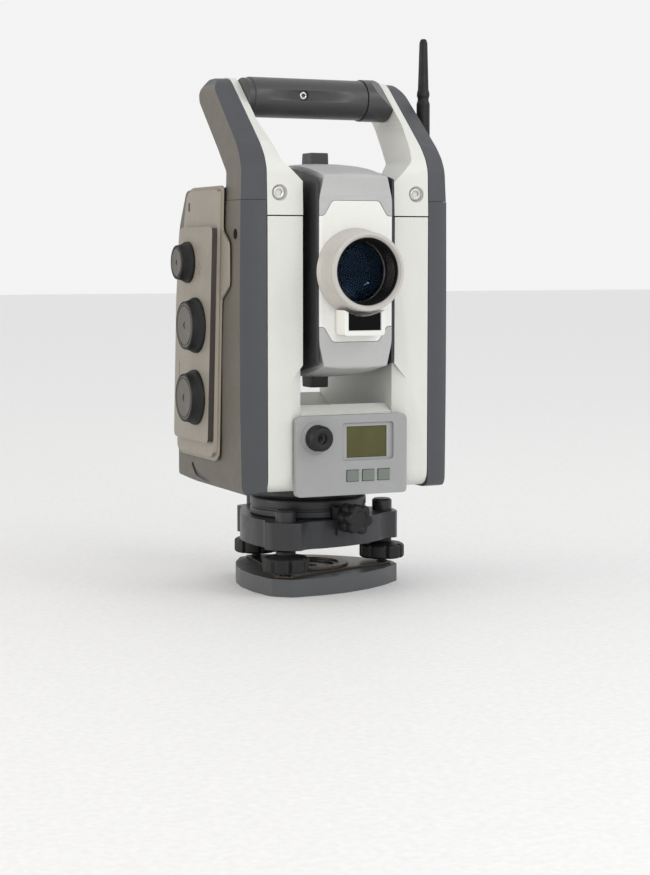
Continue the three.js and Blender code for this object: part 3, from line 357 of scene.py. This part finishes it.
def prism(name, corners, plane, start, end, material, body, bevel=0.4):
    """An outline of (a, b, rounding) corners in a plane, XY, YZ or XZ, run from start to end along the
    third axis, all in millimetres, with its edges softened by bevel."""
    bm = bmesh.new()
    points = rounded(corners, True, 5)
    place = {
        "XY": lambda a, b, c: (a, b, c),
        "YZ": lambda a, b, c: (c, a, b),
        "XZ": lambda a, b, c: (a, c, b),
    }[plane]
    low = [bm.verts.new(place(a, b, start)) for a, b in points]
    high = [bm.verts.new(place(a, b, end)) for a, b in points]
    bm.faces.new(low)
    bm.faces.new(list(reversed(high)))
    for i in range(len(low)):
        j = (i + 1) % len(low)
        bm.faces.new([low[i], low[j], high[j], high[i]])
    bm.transform(Matrix.Scale(MM, 4))
    obj = finish_mesh(name, bm, material, body)
    if bevel:
        soften(obj, bevel, 50)
    return obj


def oval(cy, cz, ry, rz, count=64):
    return [(cy + ry * math.cos(2 * math.pi * i / count), cz + rz * math.sin(2 * math.pi * i / count))
            for i in range(count)]


def soften(obj, width, angle=35.0, segments=3):
    """Rounds an object's edges that turn more than the angle, and evens out its shading."""
    bevel = obj.modifiers.new("edges", "BEVEL")
    bevel.width = width * MM
    bevel.segments = segments
    bevel.limit_method = "ANGLE"
    bevel.angle_limit = math.radians(angle)
    bevel.use_clamp_overlap = True
    bevel.miter_outer = "MITER_ARC"
    normals = obj.modifiers.new("shading", "WEIGHTED_NORMAL")
    normals.weight = 60
    normals.keep_sharp = False


def dress(node, material, bevel=0.5, cutters=()):
    """Gives a CAD node its finish: welded, cut by the given tools, with softened edges."""
    obj = NODES[node]
    obj.data.materials.clear()
    obj.data.materials.append(material)
    if "custom_normal" in obj.data.attributes:
        obj.data.attributes.remove(obj.data.attributes["custom_normal"])
    for face in obj.data.polygons:
        face.use_smooth = True
    weld = obj.modifiers.new("weld", "WELD")
    weld.merge_threshold = 0.00001
    for tool in cutters:
        cut(obj, tool)
    soften(obj, bevel)
    return obj


def finish_or_painted_light_by_facing(node, material, axis, side):
    """Gives the flat faces of a CAD node that face one way a second material: a trim colour, or painted
    light or shade for faces turned to a lamp or away from it.
    """
    obj = NODES[node]
    obj.data.materials.append(material)
    for face in obj.data.polygons:
        if face.normal[axis] * side > 0.8:
            face.material_index = 1


def cut(obj, tool):
    """Cuts the tool out of the object. The tool takes the object's body and isn't shown."""
    boolean = obj.modifiers.new("cut_" + tool.name, "BOOLEAN")
    boolean.operation = "DIFFERENCE"
    boolean.object = tool
    boolean.solver = "EXACT"
    tool.parent = obj.parent
    tool.hide_render = True
    tool.hide_viewport = True


def centre_of(node):
    low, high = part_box(node)
    return (low + high) / 2


# ---- Side knobs -----------------------------------------------------------------------
def side_knob(node):
    """Rubber sleeve that flares from the face to its foot, and a face with a ring groove whose warm grey is
    painted sheen on the black rubber.
    """
    low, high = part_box(node)
    centre = Vector((0, (low.y + high.y) / 2, (low.z + high.z) / 2))
    foot = (high.y - low.y) / 2 / MM
    inner, face = -high.x / MM, -low.x / MM
    radius = foot - 2.9
    base = face - 10.3
    ribs = 84

    def ribbed(r, h, a):
        if base + 2 < h < face - 1.6 and r > radius - 0.3:
            return r - 0.22 * (0.5 - 0.5 * math.cos(ribs * a))
        return r

    sleeve = lathe(
        node + "_sleeve",
        [(0, inner), (4, inner), (4, base), (foot, base), (foot, base + 1.6, 1.0),
         (radius + 1.9, base + 3.2, 1.6), (radius + 1.1, base + 4.4), (radius + 0.5, base + 6),
         (radius + 0.1, face - 2.4), (radius, face - 1.8), (radius - 0.1, face - 0.4, 0.6),
         (radius - 1.2, face, 0.5), (radius - 1.5, face - 1.3), (0, face - 1.3)],
        centre, "-X", RUBBER, node, 336, ribbed)
    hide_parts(node)
    rim = radius - 1.7
    groove = radius * 0.82
    # The face's warm grey is painted sheen on black rubber.
    cap = lathe(
        node + "_face",
        [(0, face - 1.2), (rim, face - 1.2), (rim, face - 0.2, 0.4), (groove + 0.6, face - 0.1, 0.2),
         (groove + 0.4, face - 0.9), (groove - 0.4, face - 0.9), (groove - 0.6, face - 0.1, 0.2),
         (groove * 0.5, face - 0.35), (0, face - 0.45)],
        centre, "-X", KNOB_FACE_PAINTED_SHEEN, node, 120)
    d = radius * 0.17
    y, z = centre.y / MM, centre.z / MM
    pocket = prism(node + "_pocket", [(y, z - d, 0.4), (y + d, z, 0.4), (y, z + d, 0.4), (y - d, z, 0.4)],
                   "YZ", -face - 1, -face + 1.0, HOLE, None, 0)
    cut(cap, pocket)
    soften(cap, 0.15, 50, 2)


# ---- Levelling base -------------------------------------------------------------------
def foot_screw(node):
    """Lobed knob on a stem, with the threaded shaft above it and a ball end below."""
    low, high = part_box(node)
    centre = centre_of(node)
    centre.z = 0
    radius = (high.x - low.x) / 2 / MM
    lobes = 8
    bottom, top = 19.5, 32.0

    def lobed(r, h, a):
        if bottom - 0.1 < h < top + 0.1 and r > radius - 3:
            turn = (lobes * a / (2 * math.pi)) % 1
            valley = max(0.0, 1 - abs(turn - 0.75) / 0.17)
            smooth = valley * valley * (3 - 2 * valley)
            ribs = 0.3 * abs(math.sin(9 * lobes * a / 2)) if valley > 0.3 else 0.0
            return r - 2.3 * smooth + ribs
        return r

    thread = []
    pitch = 1.0
    h = 37.0
    while h < 55:
        thread += [(4.5, h), (3.95, h + pitch / 2)]
        h += pitch
    screw = lathe(
        node + "_knob",
        [(0, 9), (3.1, 10.3, 1), (4.4, 13.4, 1.5), (3.7, 16.0, 0.8), (3.7, bottom), (13, bottom, 0.5),
         (14, bottom + 1.2, 0.5), (radius - 1.2, bottom + 0.3, 0.4), (radius, bottom + 1.6, 1.0),
         (radius, bottom + 4), (radius, top - 4), (radius, top - 1.6, 1.2), (radius - 2.4, top, 1.0),
         (12, top - 0.2, 0.6), (10.8, top + 0.8, 0.6), (8.2, top + 1.8, 0.5), (8.2, 36.5, 0.5), (4.5, 36.5)]
        + thread + [(4.2, 55.4), (3.6, 56), (0, 56)],
        centre, "Z", RUBBER, node, 288, lobed)
    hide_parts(node)


def lock_knob():
    node = "lock_knob"
    joint = next(j for j in frame["joints"] if j["child"] == node)
    axis = Vector(joint["axis"])
    lobes = 6

    def lobed(r, h, a):
        if r < 8:
            return r
        wave = 0.5 + 0.5 * math.cos(lobes * a)
        waist = 1.4 * math.exp(-(((h - LOCK_WAIST_Z) / 1.3) ** 2))
        return (r - waist) * (1 - 0.22 * (1 - wave ** 0.7))

    knob = lathe(
        "lock_knob_lobes",
        [(0, 60), (9, 60), (9, 62.4, 0.3), (13, 62.6, 1.2), (13, 65), (13, 69.5), (13, 70.6), (13, 71.5),
         (13, 72.4), (13, 73.5), (13, 78), (12.3, 80.6, 1.4), (8, 81, 1.0), (6.6, 80.0, 0.4), (0, 80.2)],
        (0, 0, 0), "Z", RUBBER, None, 240, lobed)
    turn = Vector((0, 0, 1)).rotation_difference(axis).to_matrix().to_4x4()
    knob.data.transform(Matrix.Translation((0, 0, joint["pos_m"][2])) @ turn)
    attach(knob, node)
    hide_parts(node)


def turned_rings():
    """The instrument's foot and the ring under the alidade."""
    foot = lathe(
        "instrument_foot_flange",
        [(14, 52), (30.5, 52), (30.5, 60.8), (48.2, 60.8, 0.3), (49, 61.6), (49, 66, 0.2), (47.9, 66.6),
         (47.9, 67.8), (49, 68.4, 0.2), (49, 74.6, 0.8), (47, 76.5, 0.8), (14, 76.5)],
        (0, 0, 0), "Z", DARK, "tribrach", 128, closed=True)
    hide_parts("instrument_foot")
    ring = lathe(
        "alidade_ring_turned",
        [(21.5, 77), (49.6, 77, 0.4), (51.5, 79, 0.6), (51.5, 84.6, 0.8), (48, 87.6, 0.4), (21.5, 87.6)],
        (0, 0, 0), "Z", DARK, "alidade", 128, closed=True)
    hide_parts("alidade_base_ring")


def circular_level():
    centre = centre_of("circular_level_housing")
    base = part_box("circular_level_housing")[0].z / MM
    centre.z = 0
    housing = lathe(
        "circular_level_cup",
        [(0, base), (10, base, 0.3), (10, base + 8, 0.5), (7.2, base + 8, 0.3), (7.2, base + 3),
         (0, base + 3)],
        centre, "Z", STEEL, "tribrach", 96)
    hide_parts("circular_level_housing")
    vial = lathe(
        "circular_level_glass",
        [(0, base + 3.3), (6.9, base + 3.3), (6.9, base + 6.9, 0.4), (2.9, base + 7.9), (2.7, base + 7.75),
         (2.5, base + 7.9), (0, base + 8.2)],
        centre, "Z", LIQUID, "tribrach", 96)
    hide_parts("circular_level_vial")


# ---- Telescope optics -----------------------------------------------------------------
SIGHT = Vector((0, 0, centre_of("objective_lens").z))


def dome(radius, height, rise, steps):
    """The points of a lens face between its edge and its middle, which stands rise above the edge."""
    angles = [math.pi / 2 * k / steps for k in range(1, steps)]
    return [(radius * math.cos(t), height + rise * math.sin(t)) for t in angles]


def objective():
    low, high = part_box("objective_barrel")
    rim = -low.y / MM
    outer = (high.x - low.x) / 2 / MM
    # The mount takes the darkened copy of the light paint: painted shade, not a paint of its own.
    barrel = lathe(
        "objective_mount",
        [(26, 87), (27.3, 87), (27.3, BARREL_SEAT), (outer, BARREL_SEAT, 0.4),
         (outer - 1.9, BARREL_SEAT + 3.7, 1), (31.6, BARREL_SEAT + 9.7, 1),
         (31.4, rim - 3.4, 0.1), (30.9, rim - 3.1), (30.9, rim - 2.7), (31.3, rim - 2.4, 0.1),
         (31, rim - 0.9, 0.4), (30, rim, 0.4), (28.2, rim, 0.3), (27.8, rim - 1), (27.2, rim - 1.2),
         (26.6, rim - 2.4), (26.4, rim - 8), (26, rim - 8)],
        SIGHT, "-Y", BARREL_PAINTED_SHADE, "telescope", 160, closed=True)
    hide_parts("objective_barrel")
    teeth = []
    h = rim - 3
    while h > 99:
        teeth += [(26.3, h), (25.7, h - 0.5)]
        h -= 1.0
    lathe(
        "objective_baffle",
        [(26.35, rim - 2.6), (25.6, rim - 2.6)] + teeth
        + [(25.3, 98.4), (24.9, 98.2), (24.9, 96.8), (26.35, 96.8)],
        SIGHT, "-Y", HOLE, "telescope", 160, closed=True)
    lens = lathe(
        "objective_glass",
        [(0, 92.6), (25, 92.6), (25, 94)] + dome(25, 94, 4.2, 12) + [(0, 98.2)],
        SIGHT, "-Y", GLASS, "telescope", 128)
    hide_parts("objective_lens")
    lathe(
        "objective_inner_element",
        [(0, 80), (24.6, 80), (24.6, 91.6)] + dome(24.6, 91.6, -6.5, 16) + [(0, 85.1)],
        SIGHT, "-Y", LENS, "telescope", 128)


def eyepiece():
    low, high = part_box("eyepiece_focus_ring")
    back = high.y / MM
    start = low.y / MM

    def knurled(r, h, a):
        if r > 14 and start + 1.5 < h < back - 3:
            return r - 0.45 * (0.5 - 0.5 * math.cos(48 * a))
        return r

    ring = lathe(
        "eyepiece_ring_knurled",
        [(9.8, start), (14.5, start, 0.5), (14.5, start + 1.4), (14.5, start + 1.6), (14.5, back - 3.2),
         (14.5, back - 2.9), (14.3, back - 2.2, 0.5), (12.4, back, 0.6), (9.8, back)],
        SIGHT, "Y", RUBBER, "eyepiece_focus_ring", 192, knurled, closed=True)
    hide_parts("eyepiece_focus_ring")
    front, rear = (corner.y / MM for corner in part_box("eyepiece_lens"))
    glass = lathe(
        "eyepiece_glass",
        [(0, front), (6.7, front), (6.7, front + 4, 0.5), (4, rear - 0.5, 2), (0, rear)],
        SIGHT, "Y", LENS, "telescope", 64)
    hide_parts("eyepiece_lens")


def plummet():
    low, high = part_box("plummet_focus_ring")
    centre = Vector(((low.x + high.x) / 2, 0, (low.z + high.z) / 2))
    start, end = -high.y / MM, -low.y / MM

    def knurled(r, h, a):
        if r > 9.6 and start + 1.2 < h < end - 3.4:
            return r - 0.35 * (0.5 - 0.5 * math.cos(36 * a))
        return r

    ring = lathe(
        "plummet_ring_knurled",
        [(7.3, start), (10.6, start, 0.4), (10.5, start + 1), (10.5, start + 1.3), (10.2, end - 3.6),
         (10.2, end - 3.2, 0.4), (8.6, end - 0.4, 0.8), (7.4, end, 0.3), (4.6, end - 0.3, 0.5),
         (3.6, end - 1.4), (3.6, end - 4), (7.3, start + 6)],
        centre, "-Y", RUBBER, "plummet_focus_ring", 144, knurled, closed=True)
    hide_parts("plummet_focus_ring")


# ---- Handle ---------------------------------------------------------------------------
def hex_screw(name, x, z, front, radius, body):
    """A cap screw seen end on: chamfered head with a hexagon socket."""
    depth = 2.0
    head = lathe(
        name,
        [(0, front - depth), (radius, front - depth), (radius, front - 1.1, 0.3),
         (radius * 0.78, front, 0.4), (0, front)],
        (x * MM, 0, z * MM), "-Y", STEEL_Y, body, 96)
    r = radius * 0.5
    corners = [(x + r * math.cos(math.pi / 3 * i), z + r * math.sin(math.pi / 3 * i)) for i in range(6)]
    socket = prism(name + "_socket", corners, "XZ", -front - 1, -front + depth * 0.8, HOLE, None, 0)
    cut(head, socket)
    soften(head, 0.12, 50, 2)


def handle():
    low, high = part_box("grip")
    y, z = (low.y + high.y) / 2 / MM, (low.z + high.z) / 2 / MM
    ry, rz = (high.y - low.y) / 2 / MM, (high.z - low.z) / 2 / MM
    x0, x1 = low.x / MM, high.x / MM
    bar = prism("grip_bar", oval(y, z, ry, rz, 96), "YZ", x0 + 5, x1, GRIP, "alidade", 0.8)
    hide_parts("grip")
    prism("grip_collar", oval(y, z, ry - 1, rz - 0.9, 96), "YZ", x0, x0 + 5.5, GRIP, "alidade",
          0.4)
    low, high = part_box("grip_end_block")
    ey, ez = (high.y - y * MM) / MM, (high.z - low.z) / 2 / MM
    start, stop = low.x / MM, high.x / MM
    end = prism("grip_end_shell", oval(y, z, ey, ez, 96), "YZ", start, stop, GRIP, "alidade",
                0)
    rise = 1.153
    base = z - 30
    edge = -67.9 + rise * (base - 365)
    wedge = prism("grip_end_wedge", [(start + 5, edge - 20), (stop + 1, edge + 1), (stop + 1, edge - 80),
                                     (start + 5, edge - 80)], "XY", base, base + 60, HOLE, None, 0)
    for vertex in wedge.data.vertices:
        vertex.co.y += rise * (vertex.co.z - base * MM)
    cut(end, wedge)
    soften(end, 0.8)
    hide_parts("grip_end_block")
    seat_z = z + 1
    seat = lathe("grip_screw_seat", [(0, 20), (GRIP_SEAT_RADIUS, 20), (GRIP_SEAT_RADIUS, 60), (0, 60)],
                 (GRIP_SCREW_X * MM, 0, seat_z * MM), "-Y", HOLE, None, 48)
    seat.data.transform(Matrix.Translation((0, (y + 3) * MM, 0)))
    cut(bar, seat)
    hex_screw("grip_screw", GRIP_SCREW_X, seat_z, 30.2, 3.7, "alidade")
    hex_screw("grip_end_screw", 53.5, z - 1.5, 32.2, 2.0, "alidade")
    for side, x in (("left", -ARM_SCREW_X), ("right", ARM_SCREW_X)):
        hex_screw(f"handle_screw_{side}", x, ARM_SCREW_Z, ARM_SCREW_FRONT, ARM_SCREW_RADIUS, "alidade")


# ---- Antenna --------------------------------------------------------------------------
def antenna():
    low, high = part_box("antenna")
    x, y = (low.x + high.x) / 2, (low.y + high.y) / 2
    foot = ANTENNA_FOOT_Z
    top = high.z / MM
    rod = lathe(
        "antenna_whip",
        [(0, low.z / MM), (3.8, low.z / MM), (3.8, foot), (6.4, foot, 0.4), (6.4, foot + 12, 0.6),
         (5.8, foot + 13.6, 0.4), (5.7, 368, 0.1), (5.2, 368.6), (5.2, 369.6), (5.7, 370.2, 0.1),
         (5.6, 404, 0.8), (4.7, 406.6, 0.6), (4.7, 408.6, 0.4), (5.4, 410.4, 0.6), (5.3, 413, 0.6),
         (4.5, 416, 0.8), (3.4, top - 3.2, 0.8), (2.2, top - 0.2, 0.8), (0, top)],
        (x, y, 0), "Z", RUBBER, "alidade", 64)
    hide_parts("antenna")


# ---- Display panel --------------------------------------------------------------------
def keys():
    for i in (1, 2, 3):
        node = f"display_key_{i}"
        low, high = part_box(node)
        x0, x1, z0, z1 = (v / MM for v in (low.x, high.x, low.z, high.z))
        cap = prism(node + "_cap", [(x0, z0, 1.4), (x1, z0, 1.4), (x1, z1, 1.4), (x0, z1, 1.4)], "XZ",
                    low.y / MM, high.y / MM, KEY, node, 0.5)
        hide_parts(node)


# ---- CAD nodes that keep their shape --------------------------------------------------
def bumper_marks():
    """Cutting tools for the round hole and the curved slot in the left bumper."""
    hole = lathe(
        "bumper_screw_hole", [(0, 86), (4.3, 86), (4.3, 100), (0, 100)], (0, -65.1 * MM, 293.4 * MM), "-X",
        HOLE, None, 48)
    slot = prism(
        "foot_slot",
        [(37.4, 101.6, 0.8), (34.8, 104, 0.8), (25, 97, 3), (-3.4, 92, 0.8), (-3, 89, 0.8), (28, 93, 3)],
        "YZ", BUMPER_FACE - 5, BUMPER_FACE + 2.5, HOLE, None, 0)
    return [hole, slot]


def unit_notch():
    """The small square notch near the top rear edge of the side unit."""
    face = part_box("knob_unit_cover")[0].x / MM
    return prism("unit_notch", [(20, 312.6, 0.6), (24.6, 312.6, 0.6), (24.6, 319.6, 0.6), (20, 319.6, 0.6)],
                 "YZ", face - 1, face + 1.4, HOLE, None, 0)


def panel_marks():
    """Shallow marks cut in the knob panel: a plus of four strokes, and a slit above the lowest knob."""
    y, z = -12.5, 266.5
    reach, inner, half = 5.4, 1.5, 0.5
    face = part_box("knob_panel")[0].x / MM
    strokes = [
        (y - reach, z - half, y - inner, z + half), (y + inner, z - half, y + reach, z + half),
        (y - half, z - reach, y + half, z - inner), (y - half, z + inner, y + half, z + reach),
        (34.8, 176.1, 35.7, 188.7),
    ]
    return [
        prism(f"panel_mark_{i}", [(a, c), (b, c), (b, d), (a, d)], "YZ", face - 1, face + 0.5, HOLE,
              None, 0)
        for i, (a, c, b, d) in enumerate(strokes)
    ]


def cad_finishes():
    dress("yoke_bridge", PAINT, 0.6)
    dress("left_bumper", BUMPER, 0.8, bumper_marks())
    dress("right_bumper", BUMPER, 0.8)
    dress("knob_unit_cover", SIDE, 0.7, [unit_notch()])
    dress("knob_panel", SIDE, 0.8, panel_marks())
    dress("battery_unit_cover", SIDE, 0.5)
    dress("battery_door", SIDE, 0.4)
    dress("battery_latch", GRIP, 0.3)
    dress("battery_pack", HOLE, 0.8)
    dress("display_panel", PANEL, 0.6)
    dress("display_screen", LCD, 0.1)
    for side in ("left", "right"):
        dress("yoke_column_" + side, PAINT, 0.8)
        dress("handle_arm_" + side, PAINT, 0.8)
        dress("handle_cover_" + side, BUMPER, 0.9)
        dress("trunnion_shaft_" + side, STEEL, 0.3)
        dress("trunnion_bearing_" + side, STEEL, 0.2)
    finish_or_painted_light_by_facing("knob_unit_cover", EDGE, 1, -1)
    # Painted shade on the knob panel's front-facing walls.
    finish_or_painted_light_by_facing("knob_panel", PANEL_EDGE_PAINTED_SHADE, 1, -1)
    # Painted light: the outer side faces of bumpers and handle covers take the lit copy of the bumper
    # plastic.
    for side, sign in (("left", -1), ("right", 1)):
        finish_or_painted_light_by_facing(side + "_bumper", BUMPER_SIDE_PAINTED_LIGHT, 0, sign)
        finish_or_painted_light_by_facing("handle_cover_" + side, BUMPER_SIDE_PAINTED_LIGHT, 0, sign)
    dress("telescope_body", DARK, 0.5)
    dress("telescope_upper_cap", GREY, 0.8)
    dress("telescope_lower_cap", GREY, 0.8)
    dress("telescope_front_plate", PLATE, 0.4)
    dress("sensor_frame", PLATE, 0.5)
    dress("sensor_window", WINDOW, 0.1)
    dress("top_sight", DARK, 0.4)
    dress("bottom_sight", DARK, 0.4)
    dress("vertical_circle", CRYSTAL, 0.2)
    dress("horizontal_circle", CRYSTAL, 0.2)
    dress("vertical_spindle", STEEL, 0.4)
    dress("azimuth_bearing", STEEL, 0.3)
    dress("knob_encoder_board", BOARD, 0.1)
    dress("control_dock", DARK, 0.6)
    dress("tribrach_base_plate", BASE, 0.8)
    dress("foot_spring_plate", BRONZE, 0.3)
    dress("tribrach_head", DARK, 0.9)


# ---- Stage ----------------------------------------------------------------------------
def stage():
    pale = (0.86, 0.86, 0.86, 1)
    floor_material = surface("floor_pale", pale, (0.6, 0.75), 200, 0.00002, wear=0, mottle=0.01)
    bm = bmesh.new()
    bmesh.ops.create_grid(bm, x_segments=1, y_segments=1, size=FLOOR_REACH)
    floor = finish_mesh("floor", bm, floor_material, None)


def area_light(name, at, aim, size, power, color):
    light = bpy.data.lights.new(name, "AREA")
    light.shape = "RECTANGLE"
    light.size, light.size_y = size
    light.energy = power
    light.color = color
    obj = bpy.data.objects.new(name, light)
    obj.location = at
    obj.rotation_euler = (Vector(aim) - Vector(at)).to_track_quat("-Z", "Y").to_euler()
    bpy.context.scene.collection.objects.link(obj)


def lighting():
    """An even bright studio with a soft key from the front right and a faint warm light on the left."""
    world = bpy.data.worlds.new("studio")
    bpy.context.scene.world = world
    world.use_nodes = True
    back = world.node_tree.nodes["Background"]
    back.inputs["Color"].default_value = (1.0, 1.0, 1.0, 1)
    back.inputs["Strength"].default_value = WORLD_LIGHT
    bpy.context.scene.view_settings.view_transform = "Standard"
    area_light("key_right", (1.7, -2.2, 1.9), (0, 0, 0.25), (1.4, 1.4), 16, (1.0, 1.0, 0.99))
    area_light("left_low", (-2.4, 0.2, 0.5), (0, 0, 0.2), (1.2, 1.2), 15, (1.0, 0.88, 0.72))
    area_light("lens_strip", (0.04, -1.95, 0.84), (0, 0, 0.264), (0.36, 0.08), 5, (1, 1, 1))


def camera():
    """The photograph's view: low, from the front left of the instrument."""
    back = Vector(CAMERA_BACK).normalized()
    lens = bpy.data.cameras.new("view")
    lens.sensor_width = SENSOR_WIDTH
    lens.lens = FOCAL_LENGTH
    lens.clip_start = 0.05
    lens.clip_end = 60
    obj = bpy.data.objects.new("view", lens)
    obj.location = CAMERA_AT
    right = Vector((0, 0, 1)).cross(back).normalized()
    up = back.cross(right)
    obj.rotation_euler = Matrix((right, up, back)).transposed().to_euler()
    bpy.context.scene.collection.objects.link(obj)
    bpy.context.scene.camera = obj


for knob in ("focus_knob", "vertical_knob", "horizontal_knob"):
    side_knob(knob)
for place in ("rear", "right", "front"):
    foot_screw("foot_screw_" + place)
lock_knob()
turned_rings()
circular_level()
objective()
eyepiece()
plummet()
handle()
antenna()
keys()
cad_finishes()
stage()
lighting()
camera()
